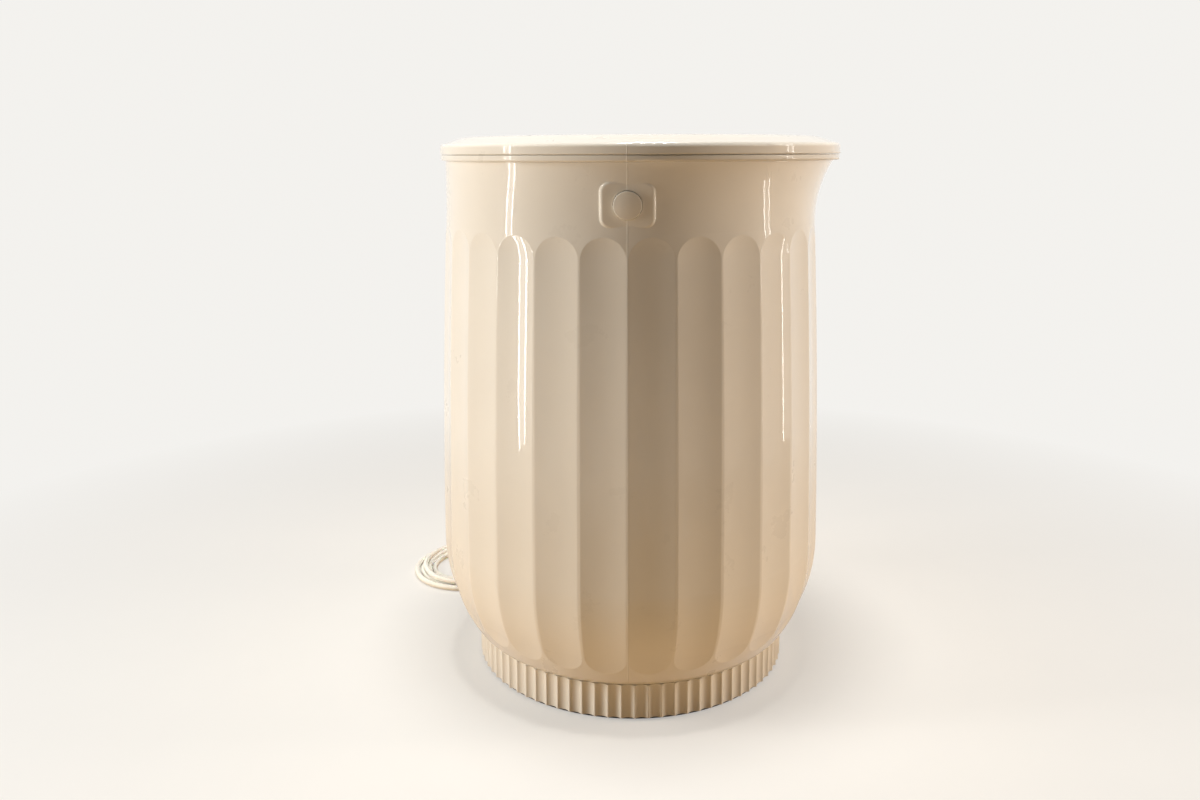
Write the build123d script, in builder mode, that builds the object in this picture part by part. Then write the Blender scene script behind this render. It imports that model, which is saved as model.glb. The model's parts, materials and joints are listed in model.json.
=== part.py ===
from build123d import *
import math
import os

# Towel warmer bucket: a fluted bucket with a flared rim, a lift-off lid, one push button and a mains lead.
# The origin is on the surface that the bucket stands on, on the bucket's own axis. The button faces -Y, and
# the rim and the lid reach further out on the +X side. All sizes are in millimetres.

os.makedirs("parts", exist_ok=True)

# ---------------------------------------------------------------- driving dimensions

# Bucket body, heights above the surface it stands on
ring_bottom = 2.0  # the ribbed ring stands this far off the floor, on its rubber foot
body_bottom = 27.0
belly_height = 104.0  # where the side stands upright
rim_height = 405.3
belly_radius = 152.6
neck_drop = 8.0  # how far the side leans in between the belly and the rim
haunch_radius = 126.0  # the round lower part of the side
under_round = 14.0
shell_wall = 2.8
shell_lip = 3.0
shell_lip_width = 6.0  # how far the lip reaches in past the top of the ring

# Flared rim: the side leaves its circle by the square of the height above flare_start
flare_out = 8.6
flare_shift = 6.6
flare_height = 48.3
flare_sections = 5

# Flutes
flute_count = 28
flute_land = 2.2  # the ridge left between two of them, where the side stands upright
flute_depth = 1.8
flute_ease = 3.0  # they get shallower and narrower down the round lower part
flute_rim_gap = 50.3  # from their tops to the rim
flute_bottom = 41.0
flute_end_turn = 20.0

# Ribbed base ring
ring_inset = 27.4  # how far the ring stands in from the widest part of the side
ring_wall = 5.7
rib_count = 80
rib_land = 0.5
rib_depth = 1.7
ring_top_flange = 3.0
ring_top_width = 19.2  # of the ring from its outside to the hole in its top
ring_foot_flange = 4.0
ring_foot_width = 15.2

# Rubber foot
foot_inset = 2.9
foot_width = 7.3
foot_groove = 1.5
foot_chamfer = 0.4

# Base cover
cover_thickness = 2.4
cover_edge = 7.0
vent_count = 18
vent_length = 26.0
vent_width = 3.4
vent_edge_gap = 10.0  # from the vents to the cover's thick edge

# Rim collar and lid
collar_height = 4.4
collar_overhang = 4.1
collar_shift_more = 0.7  # further to the +X side than the rim under it
collar_low_round = 1.4
collar_top_round = 0.7
spigot_depth = 8.0
spigot_wall = 2.6
lid_gap = 0.3  # between the closed lid and the collar
lid_overhang = 0.4  # outside the collar
lid_skirt = 7.3  # upright part of the lid's edge
lid_slope_width = 18.0
lid_slope_height = 6.2
lid_crown = 0.3
lid_slope_round = 24.0
lid_edge_round = 3.0
lid_low_round = 0.7
lid_wall = 2.6
lid_boss_count = 6
lid_boss_radius = 4.0
lid_boss_gap = 4.0  # from the gasket to the middle of the bosses

# Inner bucket and what wraps it
liner_space = 25.6  # between the liner's inside and the widest part of the side
liner_wall = 1.2
liner_floor = 80.0
liner_round = 12.0
liner_flange = 11.0
heater_thickness = 1.0
heater_lift = 28.0  # above the liner's floor
heater_rim_gap = 83.3
sleeve_gap = 5.8  # between the sleeve and the backs of the flutes, where the wires run
sleeve_lift = 2.0
sleeve_rim_gap = 67.3
floor_pad_inset = 15.0
floor_pad_thickness = 12.0
floor_pocket_gap = 2.0  # round what is fixed to the liner's floor

# Lid pan, gasket and insulation
pan_gap = 1.2  # round the pan's plug, inside the liner
pan_depth = 10.0
pan_wall = 1.2
pan_round = 4.0
pan_flange_edge = 6.0  # from the middle of the screws outwards
gasket_thickness = 1.0
gasket_width = 7.0
gasket_step = 0.8  # outside the liner's wall
gasket_round = 0.4
lid_felt_thickness = 13.0
lid_felt_gap = 4.0

# Button pad on the front, and the button
pad_width = 38.0
pad_height = 33.0
pad_corner = 7.7
pad_drop = 28.8  # from the rim down to the middle of the pad
pad_proud = 0.7
pad_round = 2.6
pad_block = 7.0
button_diameter = 19.4
button_proud = 2.6
button_dome = 0.9
button_edge = 0.6
button_gap = 0.3
button_travel = 1.0
button_flange = 1.6  # how far the flange behind the wall stands out from the button
button_flange_thickness = 1.2
button_wall = 3.0  # from the pad's face to the seat behind it
button_stem = 0.5
button_stem_diameter = 4.4
holder_wall = 1.8
holder_depth = 8.0
holder_ear_gap = 0.6  # between the holder and the posts that it is screwed to
holder_ear_diameter = 7.0
holder_ear_thickness = 2.0
holder_ear_seat = 6.0  # from the pad's face
screw_hole = 2.6
board_thickness = 1.6
board_corner = 2.0
control_board_sides = 2.6  # past the holder
control_board_ends = 0.6
switch_body = 6.0
switch_height = 3.5
plunger_diameter = 3.5
return_pad_inset = 1.2
return_pad_wall = 1.0

# Thermostat and thermal fuse under the liner
thermostat_diameter = 16.0
thermostat_height = 7.0
thermostat_flange = 4.2
thermostat_step = 1.5
thermostat_place = (45.0, 10.0)
tab_spacing = 8.0
tab_width = 6.3
tab_thickness = 0.8
tab_length = 7.0
fuse_diameter = 4.0
fuse_length = 12.0
fuse_chamfer = 0.5
fuse_place = (-40.0, 20.0)

# Power board in the base
power_board_width = 92.0
power_board_depth = 60.0
standoff_height = 8.0
standoff_diameter = 7.0
standoff_inset = 6.0
relay_place = (26.0, -8.0)
relay_size = (19.0, 15.5, 15.0)
relay_edge = 0.6
transformer_place = (-8.0, -8.0)
transformer_size = (24.0, 20.0, 17.0)
transformer_edge = 1.0
terminal_place = (-4.0, 18.0)
terminal_size = (30.0, 9.0, 11.0)
terminal_count = 5
terminal_hole = 4.0
capacitor_place = (-32.0, -6.0)
capacitor_diameter = 10.0
capacitor_height = 14.0
capacitor_edge = 0.8

# Wiring between the two boards
harness_diameter = 3.6
harness_leave = (1.0, 7.0)  # outwards and down from the control board before it leans in to the sleeve
harness_above = 2.0  # the sleeve's top
harness_below = 16.0  # the sleeve's bottom
harness_inward = 42.0
harness_under = (8.0, 9.0)  # below the insulation under the floor, on the way in and over the board
harness_bends = (8.0, 8.0, 10.0, 10.0, 10.0)

# Mains lead
cord_diameter = 5.0
cord_exit_height = 15.5
grip_wall = 2.2  # round the lead
grip_tip_wall = 0.8
grip_length = 25.0  # outside the ring
grip_flange = 1.6
grip_flange_thickness = 2.5
grip_flange_gap = 2.2
grip_collar = 1.0  # straight part outside the ring
grip_slot_count = 5
grip_slot_width = 1.2
grip_slot_first = 4.0
grip_slot_last = 2.0
grip_core_wall = 0.1  # left round the lead where two slots face each other
# The route of the lead's middle: sideways, back from the end of the grip, and the height
cord_route = [
    (0, 0, 15.5), (0, 17.8, 15.5), (-8, 34.8, 10.0), (-24, 48.8, 4.2), (-48, 55.8, 2.7), (-74, 54.8, 2.7),
    (-96, 51.5, 2.7), (-118, 45.3, 2.7), (-139, 38.8, 3.4),
]
coil_place = (-158.5, -8.2)  # sideways, and back from the end of the grip
coil_radius = 46.0  # middle of the turns where they are tied
coil_side_slack = 3.0  # round the two turns that lie side by side
coil_height_slack = 0.6
coil_fan_in = 6.0  # how much further in and out the loose turns lie, opposite the tie
coil_fan_out = 3.5
# From the coil to the plug, from the coil's middle, and the height
tail_route = [(44.3, -26.2, 6.0), (50.9, -17.5, 5.6), (55, -6.5, 6.2), (61.5, 7, 7.7), (72.5, 16.5, 7.7)]
tie_thickness = 0.6
tie_width = 8.0
tie_angle = 35.0
plug_width = 22.0
plug_thickness = 15.0
plug_length = 34.0
plug_neck = 12.0
plug_root_wall = 1.4
plug_corner = 5.0
plug_face_round = 1.2
blade_spacing = 12.7
blade_width = 6.35
blade_thickness = 1.5
blade_length = 17.0

# Clearances
slip_gap = 0.3  # between parts that go into each other
floor_gap = 0.1
tie_gap = 0.1

# ---------------------------------------------------------------- worked-out sizes

flare_start = rim_height - flare_height
flute_top = rim_height - flute_rim_gap
pad_center_height = rim_height - pad_drop
lean_height = rim_height - belly_height
side_radius = (lean_height**2 + neck_drop**2) / (2 * neck_drop)
side_center = belly_radius - side_radius
haunch_center = belly_radius - haunch_radius
flute_width = 2 * math.pi * belly_radius / flute_count - flute_land
flute_radius = 1 / (8 * flute_depth / flute_width**2 - 1 / belly_radius)
flute_pitch = 360 / flute_count
ring_radius = belly_radius - ring_inset
ring_top_hole = ring_radius - ring_top_width
ring_foot_hole = ring_radius - ring_foot_width
shell_lip_hole = ring_top_hole - shell_lip_width
foot_outer = ring_radius - foot_inset
foot_inner = foot_outer - foot_width
vent_circle = ring_foot_hole - cover_edge - vent_edge_gap - vent_length / 2
rim_top = rim_height + collar_height
collar_radius = belly_radius - neck_drop + flare_out + collar_overhang
collar_shift = flare_shift + collar_shift_more
lid_bottom = rim_top + lid_gap
lid_radius = collar_radius + lid_overhang
lid_edge_top = lid_bottom + lid_skirt
lid_top = lid_edge_top + lid_slope_height + lid_crown
liner_radius = belly_radius - liner_space
liner_outer = liner_radius + liner_wall
heater_bottom = liner_floor + heater_lift
heater_top = rim_height - heater_rim_gap
sleeve_bottom = liner_floor + sleeve_lift
sleeve_top = rim_height - sleeve_rim_gap
floor_pad_radius = liner_radius - floor_pad_inset
gasket_inner = liner_outer + gasket_step
gasket_outer = gasket_inner + gasket_width
lid_boss_circle = gasket_outer + lid_boss_gap
pan_flange_radius = lid_boss_circle + pan_flange_edge
pan_top = lid_bottom + gasket_thickness
button_axis_gap = button_diameter / 2 + button_gap
flange_radius = button_diameter / 2 + button_flange
holder_inner = flange_radius + slip_gap
holder_outer = holder_inner + holder_wall
holder_ear_spacing = 2 * (holder_outer + holder_ear_gap) + holder_ear_diameter
return_pad_diameter = button_diameter - 2 * return_pad_inset
control_board_width = 2 * (holder_outer + control_board_sides)
control_board_height = 2 * (holder_outer + control_board_ends)
grip_diameter = cord_diameter + 2 * grip_wall
grip_tip_diameter = cord_diameter + 2 * grip_tip_wall
grip_flange_diameter = grip_diameter + 2 * grip_flange
grip_core = cord_diameter + 2 * grip_core_wall
coil_width = 2 * cord_diameter + coil_side_slack
coil_height = 2 * cord_diameter + coil_height_slack
grip_end = ring_radius + grip_length
coil_center = (coil_place[0], grip_end + coil_place[1])
front = -90.0  # angle of the front, in the horizontal plane


def side_radius_at(height, inset=0):
    """Radius of the upper side without the flare, inset from its outside."""
    return side_center + math.sqrt((side_radius - inset) ** 2 - (height - belly_height) ** 2)


def flare_share(height):
    """0 where the flare starts, 1 at the rim."""
    return max(0.0, (height - flare_start) / (rim_height - flare_start)) ** 2


def flare_circle(height, inset):
    """Radius and X shift of the flared side at a height, inset from its outside."""
    share = flare_share(height)
    return side_radius_at(height, inset) + flare_out * share, flare_shift * share


def export(node, label):
    node.part.label = label
    export_step(node.part, f"parts/{label}.step")


def body_section(inset, bottom, top, corner):
    """Half section of the body below the flare, inset from its outside, with a rounded lower corner."""
    haunch_turn = math.degrees(math.asin((belly_height - bottom) / (haunch_radius - inset)))
    side_turn = math.degrees(math.asin((top - belly_height) / (side_radius - inset)))
    with BuildSketch(Plane.XZ) as section:
        with BuildLine():
            side = CenterArc((side_center, belly_height), side_radius - inset, 0, side_turn)
            haunch = CenterArc((haunch_center, belly_height), haunch_radius - inset, -haunch_turn, haunch_turn)
            Polyline(side @ 1, (0, top), (0, bottom), haunch @ 0)
        make_face()
        fillet(section.vertices().group_by(Axis.Y)[0].sort_by(Axis.X)[-1], corner)
    return section.sketch


def flare_sketches(inset):
    """Circles up the flare, inset from its outside."""
    circles = []
    for step in range(flare_sections):
        height = flare_start + (rim_height - flare_start) * step / (flare_sections - 1)
        radius, shift = flare_circle(height, inset)
        with BuildSketch(Plane.XY.offset(height)) as ring:
            with Locations((shift, 0)):
                Circle(radius)
        circles.append(ring.sketch)
    return circles


def flute_body(inset):
    """A long tool with round ends that leaves one flute in the +X side, or that flute's back when inset."""
    low_point = math.asin((belly_height - flute_bottom) / haunch_radius)
    low_turn = math.degrees(low_point - flute_width / 2 / haunch_radius)
    top_turn = math.degrees(math.asin((flute_top - flute_width / 2 - belly_height) / side_radius))
    with BuildPart() as tool:
        for up, center, swing, turn in (
            (1, side_center, side_radius, top_turn),
            (-1, haunch_center - flute_ease, haunch_radius + flute_ease, low_turn),
        ):
            pivot = Vector(center, 0, belly_height)
            lean = math.radians(up * turn)
            out = Vector(math.cos(lean), 0, math.sin(lean))
            # the end rises out of the side over half the flute's width
            end_radius = 1 / (8 * flute_depth / flute_width**2 - 1 / swing)
            end = pivot + out * (swing - flute_depth + end_radius)
            for plane, axis, angle in (
                (Plane(pivot), Axis(pivot, (0, -up, 0)), turn),
                (Plane(pivot, x_dir=out, z_dir=(-out.Z, 0, out.X)), Axis(end, (0, up, 0)), flute_end_turn),
            ):
                with BuildSketch(plane):
                    with Locations((swing - flute_depth + flute_radius, 0)):
                        Circle(flute_radius + inset)
                    with Locations((swing, 0)):
                        Rectangle(flute_width / 2, 1.5 * flute_width, mode=Mode.INTERSECT)
                revolve(axis=axis, revolution_arc=angle)
    return tool.part


# ---------------------------------------------------------------- outer shell

flute_tool = flute_body(0)
flute_lining = flute_body(shell_wall)

pad_radius, _ = flare_circle(pad_center_height, 0)
pad_tilt = math.atan2(
    flare_circle(pad_center_height + pad_height / 2, 0)[0]
    - flare_circle(pad_center_height - pad_height / 2, 0)[0],
    pad_height,
)
pad_out = Vector(0, -math.cos(pad_tilt), -math.sin(pad_tilt))
pad_plane = Plane(
    origin=Vector(0, -pad_radius, pad_center_height) + pad_out * pad_proud, x_dir=(1, 0, 0), z_dir=pad_out
)

# The hollow of the shell, with the backs of the flutes standing into it
with BuildPart() as shell_hollow:
    revolve(body_section(shell_wall, body_bottom + shell_lip, flare_start, under_round - shell_wall), Axis.Z)
    loft(flare_sketches(shell_wall))
    with PolarLocations(0, flute_count, start_angle=front + flute_pitch / 2):
        add(flute_lining, mode=Mode.SUBTRACT)

with BuildPart() as outer_shell:
    revolve(body_section(0, body_bottom, flare_start, under_round), Axis.Z)
    loft(flare_sketches(0))
    with PolarLocations(0, flute_count, start_angle=front + flute_pitch / 2):
        add(flute_tool, mode=Mode.SUBTRACT)
    # raised pad for the button, flat across and leaning with the flare
    with BuildPart(pad_plane, mode=Mode.PRIVATE) as pad:
        with BuildSketch(pad_plane):
            RectangleRounded(pad_width, pad_height, pad_corner)
        extrude(amount=-pad_block)
        fillet(pad.faces().sort_by(Axis.Y)[0].edges(), pad_round)
    add(pad.part)
    add(shell_hollow.part, mode=Mode.SUBTRACT)
    with BuildSketch(Plane.XY.offset(body_bottom)):
        Circle(shell_lip_hole)
    extrude(amount=shell_lip, mode=Mode.SUBTRACT)
    # posts that the button holder is screwed to
    with BuildSketch(pad_plane.offset(-button_wall)):
        with GridLocations(holder_ear_spacing, 0, 2, 1):
            Circle(holder_ear_diameter / 2)
    extrude(amount=-(holder_ear_seat - button_wall))
    with BuildSketch(pad_plane):
        Circle(button_axis_gap)
    extrude(amount=-pad_block, mode=Mode.SUBTRACT)
    with BuildSketch(pad_plane.offset(-button_wall)):
        Circle(holder_outer + slip_gap)
    extrude(amount=-pad_block, mode=Mode.SUBTRACT)
export(outer_shell, "outer_shell")

# ---------------------------------------------------------------- ribbed base ring, foot and cover

rib_pitch = 2 * math.pi * ring_radius / rib_count
rib_cut_radius = ((rib_pitch - rib_land) ** 2 / 4 + rib_depth**2) / (2 * rib_depth)
ring_inner = ring_radius - ring_wall
flange_top = ring_bottom + ring_foot_flange

with BuildPart() as base_ring:
    with BuildSketch(Plane.XY.offset(ring_bottom)):
        Circle(ring_radius)
        with PolarLocations(ring_radius + rib_cut_radius - rib_depth, rib_count, start_angle=front):
            Circle(rib_cut_radius, mode=Mode.SUBTRACT)
        Circle(ring_foot_hole, mode=Mode.SUBTRACT)
    extrude(amount=body_bottom - ring_bottom)
    with BuildSketch(Plane.XY.offset(flange_top)):
        Circle(ring_inner)
    extrude(amount=body_bottom - ring_top_flange - flange_top, mode=Mode.SUBTRACT)
    with BuildSketch(Plane.XY.offset(body_bottom)):
        Circle(ring_foot_hole)
        Circle(ring_top_hole, mode=Mode.SUBTRACT)
    extrude(amount=-ring_top_flange)
    with BuildSketch(Plane.XY.offset(ring_bottom)):
        Circle(foot_outer + slip_gap / 2)
        Circle(foot_inner - slip_gap / 2, mode=Mode.SUBTRACT)
    extrude(amount=foot_groove, mode=Mode.SUBTRACT)
    with Locations(Location((0, ring_radius, cord_exit_height), (90, 0, 0))):
        Hole(grip_diameter / 2 + slip_gap, depth=2 * ring_wall)
export(base_ring, "base_ring")

with BuildPart() as foot_ring:
    with BuildSketch():
        Circle(foot_outer)
        Circle(foot_inner, mode=Mode.SUBTRACT)
    extrude(amount=ring_bottom + foot_groove)
    chamfer(foot_ring.faces().sort_by(Axis.Z)[0].edges(), foot_chamfer)
export(foot_ring, "foot_ring")

cover_top = flange_top + cover_thickness
standoff_x = power_board_width - 2 * standoff_inset
standoff_y = power_board_depth - 2 * standoff_inset
with BuildPart() as base_cover:
    with BuildSketch(Plane.XY.offset(flange_top - cover_thickness)):
        Circle(ring_foot_hole - slip_gap)
    extrude(amount=cover_thickness)
    with BuildSketch(Plane.XY.offset(flange_top)):
        Circle(ring_foot_hole + cover_edge)
    extrude(amount=cover_thickness)
    with BuildSketch(Plane.XY.offset(flange_top)):
        Circle(ring_foot_hole - cover_edge)
    extrude(amount=cover_thickness, mode=Mode.SUBTRACT)
    with BuildSketch(Plane.XY.offset(flange_top - cover_thickness)):
        with PolarLocations(vent_circle, vent_count):
            SlotOverall(vent_length, vent_width)
    extrude(amount=cover_thickness, mode=Mode.SUBTRACT)
    with BuildSketch(Plane.XY.offset(flange_top)):
        with GridLocations(standoff_x, standoff_y, 2, 2):
            Circle(standoff_diameter / 2)
            Circle(screw_hole / 2, mode=Mode.SUBTRACT)
    extrude(amount=standoff_height)
export(base_cover, "base_cover")

# ---------------------------------------------------------------- power board and what stands on it

board_bottom = flange_top + standoff_height
board_top = board_bottom + board_thickness
with BuildPart() as power_board:
    with BuildSketch(Plane.XY.offset(board_bottom)):
        RectangleRounded(power_board_width, power_board_depth, board_corner)
        with GridLocations(standoff_x, standoff_y, 2, 2):
            Circle(screw_hole / 2, mode=Mode.SUBTRACT)
    extrude(amount=board_thickness)
export(power_board, "power_board")


def box_on_board(place, size, edge):
    """A moulded block that stands on the power board."""
    with BuildPart() as block:
        with BuildSketch(Plane.XY.offset(board_top)):
            with Locations(place):
                Rectangle(size[0], size[1])
        extrude(amount=size[2])
        fillet(block.edges().filter_by(Axis.Z) + block.faces().sort_by(Axis.Z)[-1].edges(), edge)
    return block


relay = box_on_board(relay_place, relay_size, relay_edge)
export(relay, "relay")
transformer = box_on_board(transformer_place, transformer_size, transformer_edge)
export(transformer, "transformer")

with BuildPart() as terminal_block:
    with BuildSketch(Plane.XY.offset(board_top)):
        with Locations(terminal_place):
            Rectangle(terminal_size[0], terminal_size[1])
    extrude(amount=terminal_size[2])
    with BuildSketch(Plane.XY.offset(board_top + terminal_size[2])):
        with Locations(terminal_place):
            with GridLocations(terminal_size[0] / terminal_count, 0, terminal_count, 1):
                Circle(terminal_hole / 2)
    extrude(amount=-terminal_hole, mode=Mode.SUBTRACT)
export(terminal_block, "terminal_block")

with BuildPart() as capacitor:
    with BuildSketch(Plane.XY.offset(board_top)):
        with Locations(capacitor_place):
            Circle(capacitor_diameter / 2)
    extrude(amount=capacitor_height)
    fillet(capacitor.faces().sort_by(Axis.Z)[-1].edges(), capacitor_edge)
export(capacitor, "capacitor")

# ---------------------------------------------------------------- rim collar

spigot_bottom = rim_height - spigot_depth
spigot_radius, spigot_shift = flare_circle(spigot_bottom, shell_wall + slip_gap)
liner_seat = rim_top - liner_wall
liner_flange_radius = liner_outer + liner_flange
with BuildPart() as rim_collar:
    with BuildSketch(Plane.XY.offset(rim_height)):
        with Locations((collar_shift, 0)):
            Circle(collar_radius)
    extrude(amount=collar_height)
    fillet(rim_collar.faces().sort_by(Axis.Z)[0].edges(), collar_low_round)
    fillet(rim_collar.faces().sort_by(Axis.Z)[-1].edges(), collar_top_round)
    with BuildSketch(Plane.XY.offset(rim_height)):
        with Locations((spigot_shift, 0)):
            Circle(spigot_radius)
            Circle(spigot_radius - spigot_wall, mode=Mode.SUBTRACT)
    extrude(amount=-spigot_depth)
    with BuildSketch(Plane.XY.offset(rim_top)):
        Circle(liner_flange_radius + slip_gap)
    extrude(amount=-liner_wall, mode=Mode.SUBTRACT)
    with BuildSketch(Plane.XY.offset(rim_top)):
        Circle(liner_outer + slip_gap)
    extrude(amount=-collar_height, mode=Mode.SUBTRACT)
export(rim_collar, "rim_collar")

# ---------------------------------------------------------------- inner bucket and its wrapping

with BuildPart() as liner:
    with BuildSketch(Plane.XZ):
        with BuildLine():
            Polyline(
                (0, liner_floor), (liner_outer, liner_floor), (liner_outer, liner_seat),
                (liner_flange_radius, liner_seat), (liner_flange_radius, rim_top), (liner_radius, rim_top),
                (liner_radius, liner_floor + liner_wall), (0, liner_floor + liner_wall), (0, liner_floor),
            )
        make_face()
        fillet(vertices().filter_by(lambda v: abs(v.X - liner_outer) < 0.01 and v.Y < liner_seat - 1), liner_round)
        fillet(
            vertices().filter_by(lambda v: abs(v.X - liner_radius) < 0.01 and v.Y < liner_seat - 1),
            liner_round - liner_wall,
        )
        fillet(vertices().filter_by(lambda v: abs(v.X - liner_radius) < 0.01 and v.Y > liner_seat), 1.0)
    revolve(axis=Axis.Z)
export(liner, "liner")


def wrap(inner, thickness, bottom, top):
    """A sleeve round the inner bucket."""
    with BuildPart() as sleeve:
        with BuildSketch(Plane.XY.offset(bottom)):
            Circle(inner + thickness)
            Circle(inner, mode=Mode.SUBTRACT)
        extrude(amount=top - bottom)
    return sleeve


heater_inner = liner_outer + slip_gap
heater_film = wrap(heater_inner, heater_thickness, heater_bottom, heater_top)
export(heater_film, "heater_film")
felt_inner = heater_inner + heater_thickness + slip_gap
felt_outer = side_radius_at(sleeve_top, shell_wall) - flute_depth - sleeve_gap
insulation_sleeve = wrap(felt_inner, felt_outer - felt_inner, sleeve_bottom, sleeve_top)
export(insulation_sleeve, "insulation_sleeve")

with BuildPart() as floor_insulation:
    with BuildSketch(Plane.XY.offset(liner_floor)):
        Circle(floor_pad_radius)
        with Locations(thermostat_place):
            Circle(thermostat_diameter / 2 + floor_pocket_gap, mode=Mode.SUBTRACT)
        with Locations(fuse_place):
            Rectangle(
                fuse_length + 2 * floor_pocket_gap, fuse_diameter + 2 * floor_pocket_gap, mode=Mode.SUBTRACT
            )
    extrude(amount=-floor_pad_thickness)
export(floor_insulation, "floor_insulation")

with BuildPart() as thermostat:
    with BuildSketch(Plane.XY.offset(liner_floor)):
        with Locations(thermostat_place):
            Circle(thermostat_diameter / 2)
    extrude(amount=-thermostat_flange)
    with BuildSketch(Plane.XY.offset(liner_floor)):
        with Locations(thermostat_place):
            Circle(thermostat_diameter / 2 - thermostat_step)
    extrude(amount=-thermostat_height)
    with BuildSketch(Plane.XY.offset(liner_floor - thermostat_height)):
        with Locations(Location((*thermostat_place, 0))):
            with GridLocations(tab_spacing, 0, 2, 1):
                Rectangle(tab_thickness, tab_width)
    extrude(amount=-tab_length)
export(thermostat, "thermostat")

with BuildPart() as thermal_fuse:
    fuse_axis = liner_floor - slip_gap - fuse_diameter / 2
    with BuildSketch(Plane.YZ.offset(fuse_place[0] - fuse_length / 2)):
        with Locations((fuse_place[1], fuse_axis)):
            Circle(fuse_diameter / 2)
    extrude(amount=fuse_length)
    chamfer(thermal_fuse.edges(), fuse_chamfer)
export(thermal_fuse, "thermal_fuse")

# ---------------------------------------------------------------- button, its holder and the control board

flange_front = button_wall + slip_gap  # depths here are from the pad's face, inwards
flange_back = flange_front + button_flange_thickness
holder_back = button_wall + holder_depth
stem_end = flange_back + button_stem
plunger_tip = stem_end + button_travel + slip_gap

with BuildPart() as button_cap:
    with BuildSketch(pad_plane.offset(-flange_front)):
        Circle(button_diameter / 2)
    extrude(amount=flange_front + button_proud - button_dome)
    with BuildSketch(pad_plane.offset(-flange_back)):
        Circle(flange_radius)
    extrude(amount=button_flange_thickness)
    with BuildSketch(pad_plane.offset(-stem_end)):
        Circle(button_stem_diameter / 2)
    extrude(amount=button_stem)
    # domed front
    dome_radius = (button_diameter**2 / 4 + button_dome**2) / (2 * button_dome)
    dome_center = pad_plane.origin + pad_out * (button_proud - dome_radius)
    with BuildSketch(pad_plane.offset(button_proud - button_dome)):
        Circle(button_diameter / 2)
    extrude(amount=button_dome)
    add(Pos(*dome_center) * Sphere(dome_radius, mode=Mode.PRIVATE), mode=Mode.INTERSECT)
    fillet(button_cap.faces().filter_by(GeomType.SPHERE).edges(), button_edge)
export(button_cap, "button_cap")

with BuildPart() as button_holder:
    with BuildSketch(pad_plane.offset(-button_wall)):
        Circle(holder_outer)
    extrude(amount=-holder_depth)
    with BuildSketch(pad_plane.offset(-holder_ear_seat)):
        SlotOverall(holder_ear_spacing + holder_ear_diameter, holder_ear_diameter)
        with GridLocations(holder_ear_spacing, 0, 2, 1):
            Circle(screw_hole / 2, mode=Mode.SUBTRACT)
    extrude(amount=-holder_ear_thickness)
    with BuildSketch(pad_plane.offset(-button_wall)):
        Circle(holder_inner)
    extrude(amount=-holder_depth, mode=Mode.SUBTRACT)
export(button_holder, "button_holder")

with BuildPart() as control_board:
    with BuildSketch(pad_plane.offset(-holder_back)):
        RectangleRounded(control_board_width, control_board_height, board_corner)
    extrude(amount=-board_thickness)
export(control_board, "control_board")

with BuildPart() as tact_switch:
    with BuildSketch(pad_plane.offset(-holder_back)):
        Rectangle(switch_body, switch_body)
    extrude(amount=switch_height)
    with BuildSketch(pad_plane.offset(-holder_back + switch_height)):
        Circle(plunger_diameter / 2)
    extrude(amount=holder_back - switch_height - plunger_tip)
export(tact_switch, "tact_switch")

with BuildPart() as return_pad:
    with BuildSketch(pad_plane.offset(-holder_back)):
        Circle(return_pad_diameter / 2)
        Circle(return_pad_diameter / 2 - return_pad_wall, mode=Mode.SUBTRACT)
    extrude(amount=holder_back - flange_back - button_travel - slip_gap)
export(return_pad, "return_pad")

# ---------------------------------------------------------------- lid


def lid_section(inset, bottom):
    """Half section of the lid about its own axis, inset from its outside."""
    edge = lid_radius - inset
    slope = lid_radius - lid_slope_width - inset / 2
    top = lid_top - inset
    with BuildSketch(Plane.XZ) as section:
        with BuildLine():
            Polyline(
                (0, bottom), (edge, bottom), (edge, lid_edge_top - inset), (slope, top - lid_crown), (0, top),
                (0, bottom),
            )
        make_face()
        fillet(section.vertices().filter_by(lambda v: abs(v.X - slope) < 0.01), lid_slope_round)
        outer = section.vertices().filter_by(lambda v: abs(v.X - edge) < 0.01)
        fillet(outer.sort_by(Axis.Y)[-1], lid_edge_round - inset / 2)
        if bottom > rim_top:
            fillet(section.vertices().sort_by(Axis.Y)[:2].sort_by(Axis.X)[-1], lid_low_round)
    return Pos(collar_shift, 0, 0) * section.sketch


lid_axis = Axis((collar_shift, 0, 0), (0, 0, 1))
pan_plug_radius = liner_radius - pan_gap
pan_floor = pan_top - pan_depth
pan_flange_top = pan_top + pan_wall

with BuildPart() as lid_outside:
    revolve(lid_section(0, lid_bottom), lid_axis)

# bosses that the pan is screwed to
with BuildPart() as lid_bosses:
    with BuildSketch(Plane.XY.offset(pan_flange_top)):
        with PolarLocations(lid_boss_circle, lid_boss_count, start_angle=front):
            Circle(lid_boss_radius)
    extrude(amount=lid_top - pan_flange_top)
    add(lid_outside.part, mode=Mode.INTERSECT)

with BuildPart() as lid_shell:
    add(lid_outside.part)
    revolve(lid_section(lid_wall, rim_top - 1), lid_axis, mode=Mode.SUBTRACT)
    add(lid_bosses.part)
export(lid_shell, "lid_shell")

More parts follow.
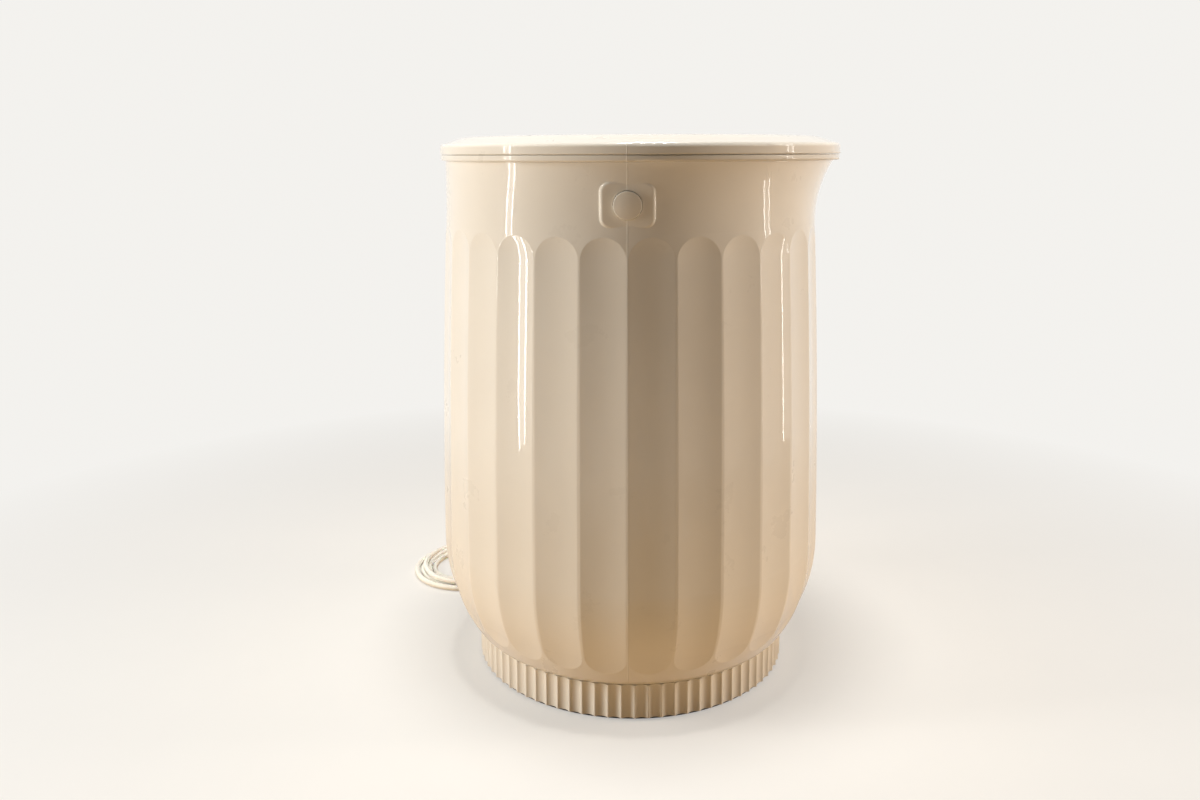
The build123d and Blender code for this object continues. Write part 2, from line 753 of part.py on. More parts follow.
with BuildPart() as lid_pan:
    with BuildSketch(Plane.XZ):
        with BuildLine():
            Polyline(
                (0, pan_floor), (pan_plug_radius, pan_floor), (pan_plug_radius, pan_top),
                (pan_flange_radius, pan_top), (pan_flange_radius, pan_flange_top),
                (pan_plug_radius - pan_wall, pan_flange_top), (pan_plug_radius - pan_wall, pan_floor + pan_wall),
                (0, pan_floor + pan_wall), (0, pan_floor),
            )
        make_face()
        fillet(vertices().filter_by(lambda v: abs(v.X - pan_plug_radius) < 0.01 and v.Y < pan_top - 1), pan_round)
        fillet(
            vertices().filter_by(lambda v: abs(v.X - pan_plug_radius + pan_wall) < 0.01 and v.Y < pan_top - 1),
            pan_round - pan_wall,
        )
    revolve(axis=Axis.Z)
export(lid_pan, "lid_pan")

with BuildPart() as lid_gasket:
    with BuildSketch(Plane.XY.offset(lid_bottom)):
        Circle(gasket_outer)
        Circle(gasket_inner, mode=Mode.SUBTRACT)
    extrude(amount=gasket_thickness)
    fillet(lid_gasket.faces().sort_by(Axis.Z)[0].edges(), gasket_round)
export(lid_gasket, "lid_gasket")

with BuildPart() as lid_felt:
    with BuildSketch(Plane.XY.offset(pan_floor + pan_wall)):
        Circle(pan_plug_radius - pan_wall - lid_felt_gap)
    extrude(amount=lid_felt_thickness)
export(lid_felt, "lid_felt")

# ---------------------------------------------------------------- wiring inside


def bend_radii(points):
    """The largest arc that each corner's two runs allow."""
    radii = []
    for before, here, after in zip(points, points[1:], points[2:]):
        run_in, run_out = Vector(here) - Vector(before), Vector(after) - Vector(here)
        half_turn = math.radians(run_in.get_angle(run_out)) / 2
        radii.append(0.45 * min(run_in.length, run_out.length) / math.tan(half_turn))
    return radii


def tube(points, radii, diameter):
    """A round lead through points, with an arc at each corner."""
    with BuildPart() as lead:
        with BuildLine() as route:
            FilletPolyline(*points, radius=radii)
        with BuildSketch(Plane(origin=route.line @ 0, z_dir=route.line % 0)):
            Circle(diameter / 2)
        sweep()
    length = route.wires()[0].length
    volume_share = lead.part.volume / (math.pi * diameter**2 / 4 * length)
    print(f"lead {length:.1f} long, its volume over section times length {volume_share:.4f}")
    return lead


harness_radius = felt_outer + slip_gap + harness_diameter / 2
board_edge = pad_plane.from_local_coords(
    Vector(0, -control_board_height / 2 - slip_gap, -holder_back - board_thickness / 2)
)
under_pad = liner_floor - floor_pad_thickness
harness_points = [
    (0, board_edge.Y, board_edge.Z),
    (0, board_edge.Y - harness_leave[0], board_edge.Z - harness_leave[1]),
    (0, -harness_radius, sleeve_top + harness_above),
    (0, -harness_radius, sleeve_bottom - harness_below),
    (0, -harness_radius + harness_inward, under_pad - harness_under[0]),
    (*terminal_place, under_pad - harness_under[1]),
    (*terminal_place, board_top + terminal_size[2] - terminal_hole),
]
harness = tube(harness_points, harness_bends, harness_diameter)
export(harness, "harness")

# ---------------------------------------------------------------- mains lead

grip_root = ring_inner - grip_flange_gap
grip_straight = ring_radius + grip_collar
with BuildPart() as cord_grip:
    with BuildSketch(Plane.XZ.offset(-(grip_root - grip_flange_thickness))):
        with Locations((0, cord_exit_height)):
            Circle(grip_flange_diameter / 2)
    extrude(amount=-grip_flange_thickness)
    with BuildSketch(Plane.XZ.offset(-grip_root)):
        with Locations((0, cord_exit_height)):
            Circle(grip_diameter / 2)
    extrude(amount=-(grip_straight - grip_root))
    with BuildSketch(Plane.XZ.offset(-grip_straight)):
        with Locations((0, cord_exit_height)):
            Circle(grip_diameter / 2)
    with BuildSketch(Plane.XZ.offset(-grip_end)):
        with Locations((0, cord_exit_height)):
            Circle(grip_tip_diameter / 2)
    loft()
    # the slots that let it bend, in turn across and upright
    slot_pitch = (grip_length - grip_slot_first - grip_slot_last) / grip_slot_count
    for slot in range(grip_slot_count):
        turn = 90 * (slot % 2)
        middle = ring_radius + grip_slot_first + slot * slot_pitch
        with Locations(Location((0, middle, cord_exit_height), (0, turn, 0))):
            with Locations((0, 0, grip_diameter / 2), (0, 0, -grip_diameter / 2)):
                Box(grip_diameter, grip_slot_width, grip_diameter - grip_core, mode=Mode.SUBTRACT)
export(cord_grip, "cord_grip")

cord_points = [(x, grip_end + back, height) for x, back, height in cord_route]
tail_points = [(coil_center[0] + x, coil_center[1] + y, height) for x, y, height in tail_route]

print("cord radii", [round(r) for r in bend_radii(cord_points)])
power_cord = tube(cord_points, bend_radii(cord_points), cord_diameter)
export(power_cord, "power_cord")

print("tail radii", [round(r) for r in bend_radii(tail_points)])
plug_tail = tube(tail_points, bend_radii(tail_points), cord_diameter)
export(plug_tail, "plug_tail")

coil_bottom = floor_gap + tie_thickness + tie_gap
coil_axis = Axis((*coil_center, 0), (0, 0, 1))
tie_turn = math.radians(tie_angle)
tie_plane = Plane(
    origin=(*coil_center, coil_bottom + coil_height / 2),
    x_dir=(math.cos(tie_turn), math.sin(tie_turn), 0),
    z_dir=(math.sin(tie_turn), -math.cos(tie_turn), 0),
)
coil_corner = coil_height * 0.38

# The turns lie close together at the tie and fan out opposite to it
with BuildPart() as cord_coil:
    with BuildSketch(Plane.XY.offset(coil_bottom)):
        for radius, shift, mode in (
            (coil_radius + (coil_width + coil_fan_out) / 2, -coil_fan_out / 2, Mode.ADD),
            (coil_radius - (coil_width + coil_fan_in) / 2, coil_fan_in / 2, Mode.SUBTRACT),
        ):
            with Locations(Vector(*coil_center, 0) + tie_plane.x_dir * shift):
                Circle(radius, mode=mode)
    extrude(amount=coil_height)
    fillet(cord_coil.edges(), coil_corner)
export(cord_coil, "cord_coil")

with BuildPart() as cord_tie:
    tie_inner = tie_gap + coil_corner
    with BuildSketch(tie_plane):
        with Locations((coil_radius, 0)):
            RectangleRounded(
                coil_width + 2 * (tie_gap + tie_thickness),
                coil_height + 2 * (tie_gap + tie_thickness),
                tie_inner + tie_thickness,
            )
            RectangleRounded(coil_width + 2 * tie_gap, coil_height + 2 * tie_gap, tie_inner, mode=Mode.SUBTRACT)
    revolve(axis=coil_axis, revolution_arc=math.degrees(tie_width / coil_radius))
export(cord_tie, "cord_tie")

tail_end, tail_before = Vector(tail_points[-1]), Vector(tail_points[-2])
plug_heading = Vector(tail_end.X - tail_before.X, tail_end.Y - tail_before.Y, 0).normalized()
plug_plane = Plane(origin=tail_end, x_dir=Vector(-plug_heading.Y, plug_heading.X, 0), z_dir=plug_heading)
with BuildPart() as plug_body:
    with BuildSketch(plug_plane):
        Circle(cord_diameter / 2 + plug_root_wall)
    with BuildSketch(plug_plane.offset(plug_neck)):
        RectangleRounded(plug_width, plug_thickness, plug_corner)
    loft()
    with BuildSketch(plug_plane.offset(plug_neck)):
        RectangleRounded(plug_width, plug_thickness, plug_corner)
    extrude(amount=plug_length - plug_neck)
    fillet(plug_body.faces().sort_by(Axis(plug_plane.origin, plug_heading))[-1].edges(), plug_face_round)
export(plug_body, "plug_body")

with BuildPart() as plug_blades:
    with BuildSketch(plug_plane.offset(plug_length)):
        with GridLocations(blade_spacing, 0, 2, 1):
            Rectangle(blade_thickness, blade_width)
    extrude(amount=blade_length)
export(plug_blades, "plug_blades")
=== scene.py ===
import json
import math

import bmesh
import bpy
from mathutils import Matrix, Vector


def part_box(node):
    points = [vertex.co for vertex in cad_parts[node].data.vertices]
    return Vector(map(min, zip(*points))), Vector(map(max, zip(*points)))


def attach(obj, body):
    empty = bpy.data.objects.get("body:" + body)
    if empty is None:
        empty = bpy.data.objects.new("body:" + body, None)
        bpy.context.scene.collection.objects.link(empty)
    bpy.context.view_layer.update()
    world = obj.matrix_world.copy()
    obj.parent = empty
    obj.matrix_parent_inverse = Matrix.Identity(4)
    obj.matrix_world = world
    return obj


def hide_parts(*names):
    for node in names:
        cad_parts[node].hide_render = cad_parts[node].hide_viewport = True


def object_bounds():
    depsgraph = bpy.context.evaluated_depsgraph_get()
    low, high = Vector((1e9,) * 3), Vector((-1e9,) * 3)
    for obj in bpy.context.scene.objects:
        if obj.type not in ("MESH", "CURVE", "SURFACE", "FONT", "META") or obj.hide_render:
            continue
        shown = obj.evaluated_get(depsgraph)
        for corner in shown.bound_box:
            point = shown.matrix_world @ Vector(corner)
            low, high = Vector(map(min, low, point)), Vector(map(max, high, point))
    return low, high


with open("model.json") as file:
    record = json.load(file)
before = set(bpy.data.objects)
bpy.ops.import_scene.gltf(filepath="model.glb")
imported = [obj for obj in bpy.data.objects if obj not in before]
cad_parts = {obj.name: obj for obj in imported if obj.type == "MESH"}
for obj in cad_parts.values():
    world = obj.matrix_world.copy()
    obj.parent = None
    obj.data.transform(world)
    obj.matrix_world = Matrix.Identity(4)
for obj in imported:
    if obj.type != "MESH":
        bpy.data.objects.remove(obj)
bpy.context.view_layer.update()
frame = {"nodes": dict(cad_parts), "record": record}
nodes = frame["nodes"]
scene = bpy.context.scene
MM = 0.001

# ---------------------------------------------------------------- camera

CAMERA_PLACE = (0.0078, -0.8203, 0.4124)
CAMERA_PITCH = -6.7  # degrees
CAMERA_YAW = 2.23
CAMERA_ROLL = -0.22
LENS = 30.417  # millimetres, on a sensor this wide
SENSOR_WIDTH = 36
SHIFT_Y = -0.1083
CLIP_START = 0.01

camera_data = bpy.data.cameras.new("camera")
camera_data.sensor_width = SENSOR_WIDTH
camera_data.lens = LENS
camera_data.shift_y = SHIFT_Y
camera_data.clip_start = CLIP_START
camera = bpy.data.objects.new("camera", camera_data)
scene.collection.objects.link(camera)
yaw = Matrix.Rotation(math.radians(CAMERA_YAW), 4, "Z")
pitch = Matrix.Rotation(math.radians(90 + CAMERA_PITCH), 4, "X")
roll = Matrix.Rotation(math.radians(CAMERA_ROLL), 4, "Z")
camera.matrix_world = Matrix.Translation(CAMERA_PLACE) @ (yaw @ pitch) @ roll
scene.camera = camera

# ---------------------------------------------------------------- mains lead

CORD_DIAMETER = 5.0 * MM
COIL_CENTER = Vector((-158.5, 142.0, 0.0)) * MM
COIL_RADIUS = 46.0 * MM
POINTS_PER_TURN = 24

# From the strain relief down to the floor and round the back of the bucket, in millimetres
LEAD_ROUTE = [
    (0, 150.2, 15.5), (0, 168, 15.5), (-8, 185, 10.0), (-24, 199, 4.2),
    (-48, 206, 2.7), (-74, 205, 2.7), (-96, 201.7, 2.7), (-118, 195.5, 2.7),
]
# Up off the coil to the back of the plug
TAIL_ROUTE = [(-103.5, 135.5, 6.2), (-97, 149, 7.7), (-86, 158.5, 7.7)]

# The turns are tied together at 35 degrees and lie loose at 215: angle in degrees, then how far outside the
# coil's middle radius and how high the lead's middle runs there, in millimetres
COIL_LANES = [
    (62, 8.0, 2.8), (215, 7.5, 2.7), (395, 2.7, 3.3), (575, 1.5, 2.7), (755, -2.7, 3.3), (935, -10.0, 2.7),
    (1115, -2.7, 8.6), (1295, -4.3, 2.8), (1475, 2.7, 8.6), (1640, -1.0, 7.6), (1700, 4.0, 8.2),
    (1775, 9.5, 5.6),
]
COIL_START = 10  # degrees from the first lane's angle to the coil's first point
COIL_END = 3  # degrees that the coil stops short of the last lane's angle
CLIMB = 3.0  # a lane that rises or falls by more than this goes over its neighbour


def coil_route():
    """Points along the lead's middle, round and round the coil."""
    points = []
    step = 360 / POINTS_PER_TURN
    angle = COIL_LANES[0][0] + COIL_START
    while angle < COIL_LANES[-1][0] - COIL_END:
        lane = max(i for i in range(len(COIL_LANES) - 1) if COIL_LANES[i][0] <= angle)
        (a0, out0, z0), (a1, out1, z1) = COIL_LANES[lane], COIL_LANES[lane + 1]
        share = (1 - math.cos(math.pi * (angle - a0) / (a1 - a0))) / 2
        quarter = share * math.pi / 2
        if z1 - z0 > CLIMB:  # up first, then across
            z, out = z0 + (z1 - z0) * math.sin(quarter), out1 + (out0 - out1) * math.cos(quarter)
        elif z0 - z1 > CLIMB:  # across first, then down
            z, out = z1 + (z0 - z1) * math.cos(quarter), out0 + (out1 - out0) * math.sin(quarter)
        else:
            z, out = z0 + (z1 - z0) * share, out0 + (out1 - out0) * share
        radius = COIL_RADIUS + out * MM
        a = math.radians(angle)
        points.append(COIL_CENTER + Vector((radius * math.cos(a), radius * math.sin(a), z * MM)))
        angle += step
    return points


def spline_object(name, points, radius):
    """A round lead through the points."""
    curve = bpy.data.curves.new(name, "CURVE")
    curve.dimensions = "3D"
    curve.bevel_depth = 1.0  # times each point's own radius
    curve.bevel_resolution = 8
    curve.resolution_u = 6
    curve.use_fill_caps = True
    spline = curve.splines.new("NURBS")
    spline.points.add(len(points) - 1)
    for point, place in zip(spline.points, points):
        point.co = (*place, 1)
        point.radius = radius
    spline.order_u = 3
    spline.use_endpoint_u = True
    piece = bpy.data.objects.new(name, curve)
    scene.collection.objects.link(piece)
    return piece


route = [Vector(p) * MM for p in LEAD_ROUTE] + coil_route() + [Vector(p) * MM for p in TAIL_ROUTE]
mains_lead = spline_object("mains_lead", route, CORD_DIAMETER / 2)
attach(mains_lead, "bucket")
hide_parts("power_cord", "cord_coil", "plug_tail")

# ---------------------------------------------------------------- screws

SCREW_COUNT = 6
SCREW_SEGMENTS = 32
SCREW_PROFILE = ((1.0, 0.0), (1.0, 0.45), (0.93, 0.78), (0.78, 1.0))  # shares of the radius and of the height
RECESS_ARM = 0.55  # the cross's arms, as shares of the head's radius
RECESS_HALF = 0.13
RECESS_FLOOR = 0.4  # how far down the head the cross ends, as a share of its height
SCREW_SINK = 0.02 * MM  # how far a head is let into its flange

LID_SCREW_CIRCLE = 140 * MM
LID_SCREW_RADIUS = 3.2 * MM
LID_SCREW_HEIGHT = 0.8 * MM
PAN_FLANGE_UNDER = 411.0 * MM

BASE_SCREW_CIRCLE = 112.4 * MM
BASE_SCREW_RADIUS = 2.2 * MM
BASE_SCREW_HEIGHT = 1.0 * MM
BASE_FLANGE_UNDER = 2.0 * MM


def screw_heads(name, body, circle, under, radius, tall):
    """A ring of low pan heads with a cross recess, facing down from a flange's underside."""
    mesh = bmesh.new()
    turns = [math.tau * k / SCREW_SEGMENTS for k in range(SCREW_SEGMENTS)]
    arm, half = RECESS_ARM * radius, RECESS_HALF * radius
    cross = [(half, arm), (-half, arm), (-half, half), (-arm, half), (-arm, -half), (-half, -half)]
    cross += [(-x, -y) for x, y in cross]

    def loop_of(seat, outline, down):
        return [mesh.verts.new(seat + Vector((x, y, -down * tall))) for x, y in outline]

    def wall(upper, lower):
        for k in range(len(upper)):
            mesh.faces.new((upper[k - 1], upper[k], lower[k], lower[k - 1]))

    for screw in range(SCREW_COUNT):
        angle = math.tau * screw / SCREW_COUNT - math.pi / 2
        seat = Vector((circle * math.cos(angle), circle * math.sin(angle), under + SCREW_SINK))
        rings = [
            loop_of(seat, [(share * radius * math.cos(t), share * radius * math.sin(t)) for t in turns], down)
            for share, down in SCREW_PROFILE
        ]
        for upper, lower in zip(rings, rings[1:]):
            wall(upper, lower)
        mesh.faces.new(rings[0])
        mouth, bottom = loop_of(seat, cross, 1.0), loop_of(seat, cross, RECESS_FLOOR)
        wall(mouth, bottom)
        mesh.faces.new(bottom)
        rims = [
            mesh.edges.get((loop[k - 1], loop[k])) for loop in (rings[-1], mouth) for k in range(len(loop))
        ]
        bmesh.ops.triangle_fill(mesh, edges=rims, use_beauty=True)
    bmesh.ops.recalc_face_normals(mesh, faces=mesh.faces)
    data = bpy.data.meshes.new(name)
    mesh.to_mesh(data)
    piece = bpy.data.objects.new(name, data)
    scene.collection.objects.link(piece)
    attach(piece, body)


screw_heads("lid_screws", "lid", LID_SCREW_CIRCLE, PAN_FLANGE_UNDER, LID_SCREW_RADIUS, LID_SCREW_HEIGHT)
screw_heads(
    "base_screws", "bucket", BASE_SCREW_CIRCLE, BASE_FLANGE_UNDER, BASE_SCREW_RADIUS, BASE_SCREW_HEIGHT
)

# ---------------------------------------------------------------- materials

BEVEL_SAMPLES = 12
SEAM_HALF_WIDTH = 0.5 * MM
SEAM_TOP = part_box("lid_shell")[1][2] - 6.5 * MM  # the mould's line ends at the top of the lid's edge
PLASTIC_IOR = 1.5
SPUN_LINES = 60.0  # stretches the noise into lines round the axis
SPUN_SWELL = 0.15 * MM  # the slow waves of spun metal


class Nodes:
    """Builds one material's nodes; a noise's scale is roughly its features per metre."""

    def __init__(self, name):
        self.material = bpy.data.materials.new(name)
        self.material.use_nodes = True
        self.tree = self.material.node_tree
        self.shader = self.tree.nodes["Principled BSDF"]
        coordinates = self.tree.nodes.new("ShaderNodeTexCoord")
        self.place = coordinates.outputs["Object"]

    def set(self, **values):
        for key, value in values.items():
            self.shader.inputs[key.replace("_", " ")].default_value = value

    def link(self, source, target):
        self.tree.links.new(source, target)

    def math(self, operation, *values):
        node = self.tree.nodes.new("ShaderNodeMath")
        node.operation = operation
        for socket, value in zip(node.inputs, values):
            if isinstance(value, (int, float)):
                socket.default_value = value
            else:
                self.link(value, socket)
        return node.outputs[0]

    def noise(self, scale, detail=3.0, roughness=0.5, vector=None):
        node = self.tree.nodes.new("ShaderNodeTexNoise")
        node.inputs["Scale"].default_value = scale
        node.inputs["Detail"].default_value = detail
        node.inputs["Roughness"].default_value = roughness
        self.link(vector or self.place, node.inputs["Vector"])
        return node.outputs["Fac"]

    def spread(self, value, low, high, start=0.3, end=0.7):
        node = self.tree.nodes.new("ShaderNodeMapRange")
        self.link(value, node.inputs["Value"])
        for key, number in (("From Min", start), ("From Max", end), ("To Min", low), ("To Max", high)):
            node.inputs[key].default_value = number
        return node.outputs["Result"]

    def color(self, value, dark, light, start=0.3, end=0.7):
        node = self.tree.nodes.new("ShaderNodeValToRGB")
        node.color_ramp.elements[0].position = start
        node.color_ramp.elements[1].position = end
        node.color_ramp.elements[0].color = (*dark, 1)
        node.color_ramp.elements[1].color = (*light, 1)
        self.link(value, node.inputs["Fac"])
        self.link(node.outputs["Color"], self.shader.inputs["Base Color"])

    def rounded(self, radius):
        """The normal as if edges were rounded by this radius."""
        node = self.tree.nodes.new("ShaderNodeBevel")
        node.samples = BEVEL_SAMPLES
        node.inputs["Radius"].default_value = radius
        return node.outputs["Normal"]

    def seam(self, half_width, below):
        """A line where the two halves of the mould met, front and back, up to a height."""
        split = self.tree.nodes.new("ShaderNodeSeparateXYZ")
        self.link(self.place, split.inputs[0])
        x, _, z = split.outputs
        line = self.math("SUBTRACT", 1.0, self.math("DIVIDE", self.math("ABSOLUTE", x), half_width))
        line = self.math("MAXIMUM", line, 0.0)
        return self.math("MULTIPLY", line, self.math("LESS_THAN", z, below))

    def bump(self, *layers, normal=None):
        """Each layer is a height from 0 to 1 and its depth in metres."""
        for height, depth in layers:
            node = self.tree.nodes.new("ShaderNodeBump")
            node.inputs["Strength"].default_value = 1.0
            node.inputs["Distance"].default_value = depth
            self.link(height, node.inputs["Height"])
            if normal:
                self.link(normal, node.inputs["Normal"])
            normal = node.outputs["Normal"]
        self.link(normal, self.shader.inputs["Normal"])
        self.link(normal, self.shader.inputs["Coat Normal"])


def shade(color, factor):
    return tuple(min(1.0, c * factor) for c in color)


def moulded(
    name, color, low, high, mottle=0.02, wave=0.00006, peel=0.0000025, edge=0.0004, seam=0.0, **extra
):
    """Moulded plastic: a little cloudy in colour, wavy over centimetres and peeled over a millimetre."""
    n = Nodes(name)
    n.color(n.noise(9, 4, 0.6), shade(color, 1 - mottle), shade(color, 1 + mottle))
    n.link(n.spread(n.noise(26, 5, 0.62), low, high), n.shader.inputs["Roughness"])
    layers = [(n.noise(22, 1), wave), (n.noise(700, 1), peel)]
    if seam:
        layers.append((n.seam(SEAM_HALF_WIDTH, SEAM_TOP), seam))
    n.bump(*layers, normal=n.rounded(edge))
    n.set(IOR=PLASTIC_IOR, **extra)
    return n.material


def grained(name, color, low, high, grain, depth, mottle=0.03, **extra):
    """A matte moulding, rubber or felt with an even grain."""
    n = Nodes(name)
    n.color(n.noise(14, 5, 0.65), shade(color, 1 - mottle), shade(color, 1 + mottle))
    n.link(n.spread(n.noise(60, 4, 0.6), low, high), n.shader.inputs["Roughness"])
    n.bump((n.noise(grain, 3, 0.7), depth))
    n.set(**extra)
    return n.material


def spun(name, color, low, high, depth):
    """Metal with fine lines round the Z axis, on walls and floors alike."""
    n = Nodes(name)
    split = n.tree.nodes.new("ShaderNodeSeparateXYZ")
    n.link(n.place, split.inputs[0])
    x, y, z = split.outputs
    radius = n.math("SQRT", n.math("ADD", n.math("MULTIPLY", x, x), n.math("MULTIPLY", y, y)))
    across = n.math("MULTIPLY", n.math("ADD", radius, z), SPUN_LINES)
    join = n.tree.nodes.new("ShaderNodeCombineXYZ")
    n.link(x, join.inputs[0])
    n.link(y, join.inputs[1])
    n.link(across, join.inputs[2])
    lines = n.noise(30, 4, 0.7, vector=join.outputs[0])
    n.color(lines, shade(color, 0.93), shade(color, 1.05))
    n.link(n.spread(lines, low, high), n.shader.inputs["Roughness"])
    n.bump((lines, depth), (n.noise(12, 1), SPUN_SWELL))
    n.set(Metallic=1.0)
    return n.material


IVORY = (0.87, 0.828, 0.745)
materials = {
    "shell_gloss": moulded(
        "shell_gloss", IVORY, 0.26, 0.36, wave=0.00003, edge=0.0012, seam=0.0002, Specular_IOR_Level=0.3,
        Coat_Weight=1.0, Coat_Roughness=0.02,
    ),
    "base_satin": moulded("base_satin", shade(IVORY, 0.98), 0.3, 0.42, peel=0.000006),
    "button_gloss": moulded(
        "button_gloss", IVORY, 0.26, 0.36, wave=0.00001, Specular_IOR_Level=0.3,
        Coat_Weight=1.0, Coat_Roughness=0.03,
    ),
    "cord_white": moulded(
        "cord_white", (0.86, 0.83, 0.76), 0.2, 0.34, wave=0.00004, Subsurface_Weight=0.05
    ),
    "tie_white": moulded("tie_white", (0.82, 0.81, 0.78), 0.35, 0.5),
    "inner_plastic": grained("inner_plastic", (0.78, 0.77, 0.73), 0.4, 0.55, 900, 0.00002),
    "black_plastic": grained("black_plastic", (0.025, 0.025, 0.027), 0.35, 0.5, 1200, 0.00003),
    "foot_rubber": grained("foot_rubber", (0.02, 0.02, 0.021), 0.6, 0.85, 1500, 0.00004, mottle=0.25),
    "silicone": grained("silicone", (0.6, 0.6, 0.58), 0.45, 0.6, 1200, 0.00002),
    "wire_sheath": grained("wire_sheath", (0.72, 0.71, 0.68), 0.35, 0.5, 900, 0.00002),
    "heater_film": moulded("heater_film", (0.45, 0.22, 0.05), 0.15, 0.3, mottle=0.1),
    "board_green": moulded("board_green", (0.03, 0.16, 0.07), 0.2, 0.35, mottle=0.15),
    "felt": grained("felt", (0.66, 0.65, 0.61), 0.85, 1.0, 1800, 0.0004, mottle=0.08, Sheen_Weight=0.3),
    "steel": spun("steel", (0.56, 0.56, 0.56), 0.25, 0.4, 0.00001),
    "liner_aluminium": spun("liner_aluminium", (0.78, 0.78, 0.77), 0.2, 0.38, 0.00002),
    "blade_brass": spun("blade_brass", (0.75, 0.72, 0.62), 0.15, 0.3, 0.00001),
}
for row in frame["record"]["subparts"]:
    node = nodes[row["node"]]
    node.data.materials.clear()
    node.data.materials.append(materials[row["material_slot"]])
mains_lead.data.materials.append(materials["cord_white"])

# ---------------------------------------------------------------- floor, world and lamps

FLOOR_RADIUS = 60  # metres
FLOOR_COLOR = (0.84, 0.82, 0.78)
BOUNCE_COLOR = (0.56, 0.37, 0.17)  # what the floor throws back onto the object
SKY_COLOR = (0.90, 0.885, 0.855)
ROOM_COLOR = (1.0, 0.80, 0.58)
FILL = 0.06  # how strongly the room lights the object from all round
PALE_NEAR, PALE_FAR = 0.45, 1.0  # how much of the floor's look is the background's
PALE_START, PALE_END = 0.3, 0.85  # metres from the middle between which that grows

floor_mesh = bpy.data.meshes.new("floor")
floor_bm = bmesh.new()
bmesh.ops.create_circle(floor_bm, cap_ends=True, segments=96, radius=FLOOR_RADIUS)
floor_bm.to_mesh(floor_mesh)
floor = bpy.data.objects.new("floor", floor_mesh)
floor.location.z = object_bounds()[0][2]
scene.collection.objects.link(floor)

# The floor pales into the background away from the object, as the camera, mirrors and glass see it
paper = Nodes("floor_paper")
paper.color(paper.noise(14, 5, 0.65), shade(FLOOR_COLOR, 0.99), shade(FLOOR_COLOR, 1.01))
paper.bump((paper.noise(300, 3, 0.7), 0.00005))
paper.set(Roughness=0.85)
away = paper.tree.nodes.new("ShaderNodeVectorMath")
away.operation = "LENGTH"
paper.link(paper.place, away.inputs[0])
pale = paper.spread(away.outputs["Value"], PALE_NEAR, PALE_FAR, start=PALE_START, end=PALE_END)
light_path = paper.tree.nodes.new("ShaderNodeLightPath")
tint = paper.tree.nodes.new("ShaderNodeMix")
tint.data_type = "RGBA"
paper.link(light_path.outputs["Is Camera Ray"], tint.inputs["Factor"])
tint.inputs["A"].default_value = (*BOUNCE_COLOR, 1)
paper.link(paper.shader.inputs["Base Color"].links[0].from_socket, tint.inputs["B"])
paper.link(tint.outputs["Result"], paper.shader.inputs["Base Color"])
glow = paper.tree.nodes.new("ShaderNodeEmission")
glow.inputs["Color"].default_value = (*SKY_COLOR, 1)
glow.inputs["Strength"].default_value = 1.0
blend = paper.tree.nodes.new("ShaderNodeMixShader")
shown_floor = light_path.outputs["Is Camera Ray"]
for ray in ("Is Glossy Ray", "Is Transmission Ray"):
    shown_floor = paper.math("MAXIMUM", shown_floor, light_path.outputs[ray])
paper.link(paper.math("MULTIPLY", pale, shown_floor), blend.inputs["Fac"])
paper.link(paper.shader.outputs["BSDF"], blend.inputs[1])
paper.link(glow.outputs["Emission"], blend.inputs[2])
paper.link(blend.outputs["Shader"], paper.tree.nodes["Material Output"].inputs["Surface"])
floor_mesh.materials.append(paper.material)

world = bpy.data.worlds.new("world")
world.use_nodes = True
scene.world = world
sky = world.node_tree.nodes["Background"]
rays = world.node_tree.nodes.new("ShaderNodeLightPath")


def world_node(kind, operation, *values):
    """A node of the world, fed with numbers or with other nodes' outputs."""
    node = world.node_tree.nodes.new(kind)
    node.operation = operation
    for socket, value in zip(node.inputs, values):
        if isinstance(value, bpy.types.NodeSocket):
            world.node_tree.links.new(value, socket)
        else:
            socket.default_value = value
    return node.outputs[0]


seen = rays.outputs["Is Camera Ray"]
for kind in ("Is Glossy Ray", "Is Transmission Ray"):
    seen = world_node("ShaderNodeMath", "MAXIMUM", seen, rays.outputs[kind])
unseen = world_node("ShaderNodeMath", "SUBTRACT", 1.0, seen)
shown = world_node("ShaderNodeVectorMath", "SCALE", SKY_COLOR)
world.node_tree.links.new(seen, shown.node.inputs["Scale"])
lit = world_node("ShaderNodeVectorMath", "SCALE", tuple(c * FILL for c in ROOM_COLOR))
world.node_tree.links.new(unseen, lit.node.inputs["Scale"])
world.node_tree.links.new(world_node("ShaderNodeVectorMath", "ADD", shown, lit), sky.inputs["Color"])
sky.inputs["Strength"].default_value = 1.0


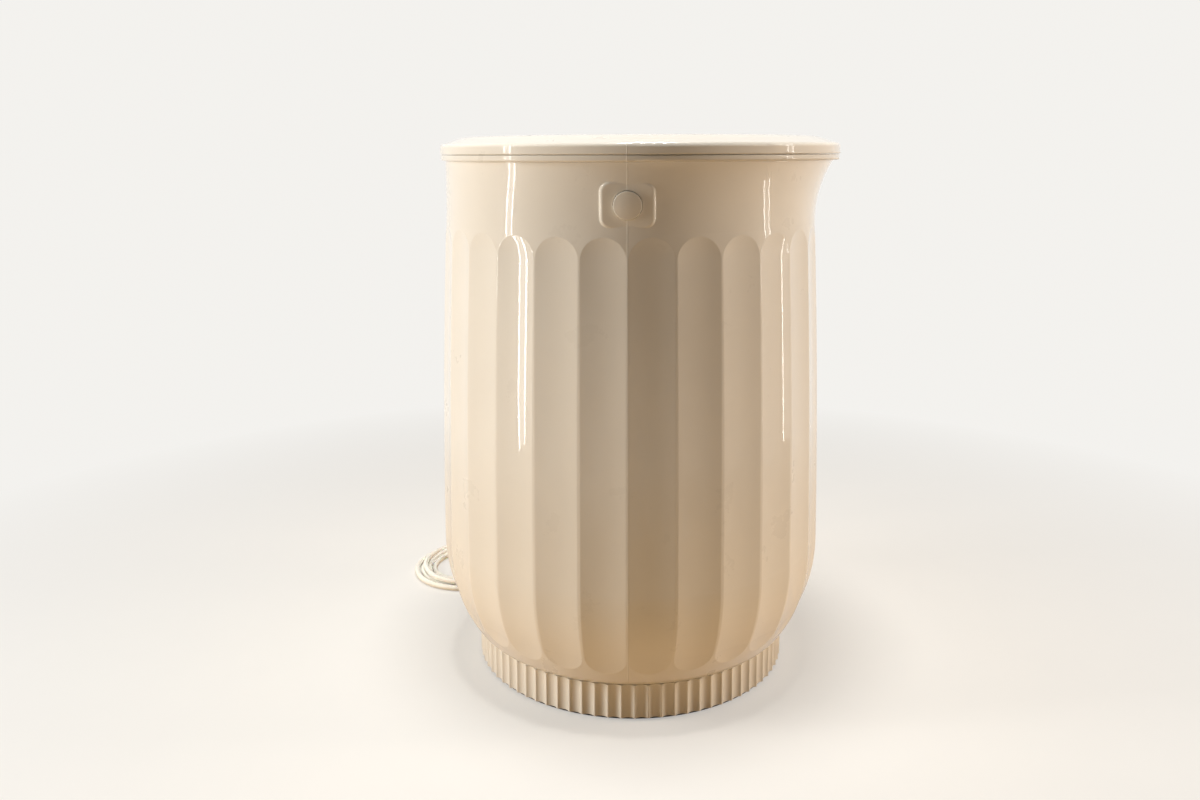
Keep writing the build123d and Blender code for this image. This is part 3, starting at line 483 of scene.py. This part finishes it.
AIM_HEIGHT = 0.22  # metres, where the lamps point
TUBE_HEIGHT = 0.4
TUBE_TALL = 1.2
TUBE_WIDTH = 0.011  # as a share of the lamp's distance
TUBE_OFFSET = 1.9  # degrees from the pair's middle
SCREEN_WIDTH = 0.056  # as a share of the lamp's distance
SCREEN_BEHIND = 0.02  # metres
SCREEN_POWER = 0.5  # as a share of one tube's


def lamp(name, azimuth, distance, height, width, tall, watts, color, mirrored=True, spread=180):
    """A softbox that faces the object; the azimuth is from the camera's side, positive to its right."""
    data = bpy.data.lights.new(name, "AREA")
    data.shape = "RECTANGLE"
    data.size = width
    data.size_y = tall
    data.energy = watts
    data.color = color
    data.spread = math.radians(spread)
    piece = bpy.data.objects.new(name, data)
    a = math.radians(azimuth)
    place = Vector((math.sin(a) * distance, -math.cos(a) * distance, height))
    aim = Vector((0, 0, AIM_HEIGHT)) - place
    piece.location = place
    piece.rotation_euler = aim.to_track_quat("-Z", "Y").to_euler()
    piece.visible_camera = False
    piece.visible_glossy = mirrored
    scene.collection.objects.link(piece)


lamp("key_left", -80, 1.7, 0.55, 0.42, 1.3, 20.5, (1.0, 0.955, 0.88), mirrored=False)
lamp("key_right", 92, 1.7, 0.5, 0.42, 1.3, 18, (1.0, 0.84, 0.68), mirrored=False)
# A pair of bright tubes on each side, with a dimmer screen just behind them
for side, azimuth, distance, watts, color in (
    ("left", -68.8, 0.8, 0.75, (1.0, 0.98, 0.95)), ("right", 82, 0.8, 0.42, (1.0, 0.95, 0.88))
):
    width = TUBE_WIDTH * distance
    for tube, offset in (("a", -TUBE_OFFSET), ("b", TUBE_OFFSET)):
        tube_name = f"tube_{side}_{tube}"
        lamp(tube_name, azimuth + offset, distance, TUBE_HEIGHT, width, TUBE_TALL, watts, color)
    lamp(
        f"screen_{side}", azimuth, distance + SCREEN_BEHIND, TUBE_HEIGHT, SCREEN_WIDTH * distance, TUBE_TALL,
        watts * SCREEN_POWER, color,
    )
lamp("top", 0, 0.1, 2.5, 0.5, 0.5, 3.0, (1.0, 0.97, 0.93), spread=45)

scene.view_settings.view_transform = "Standard"
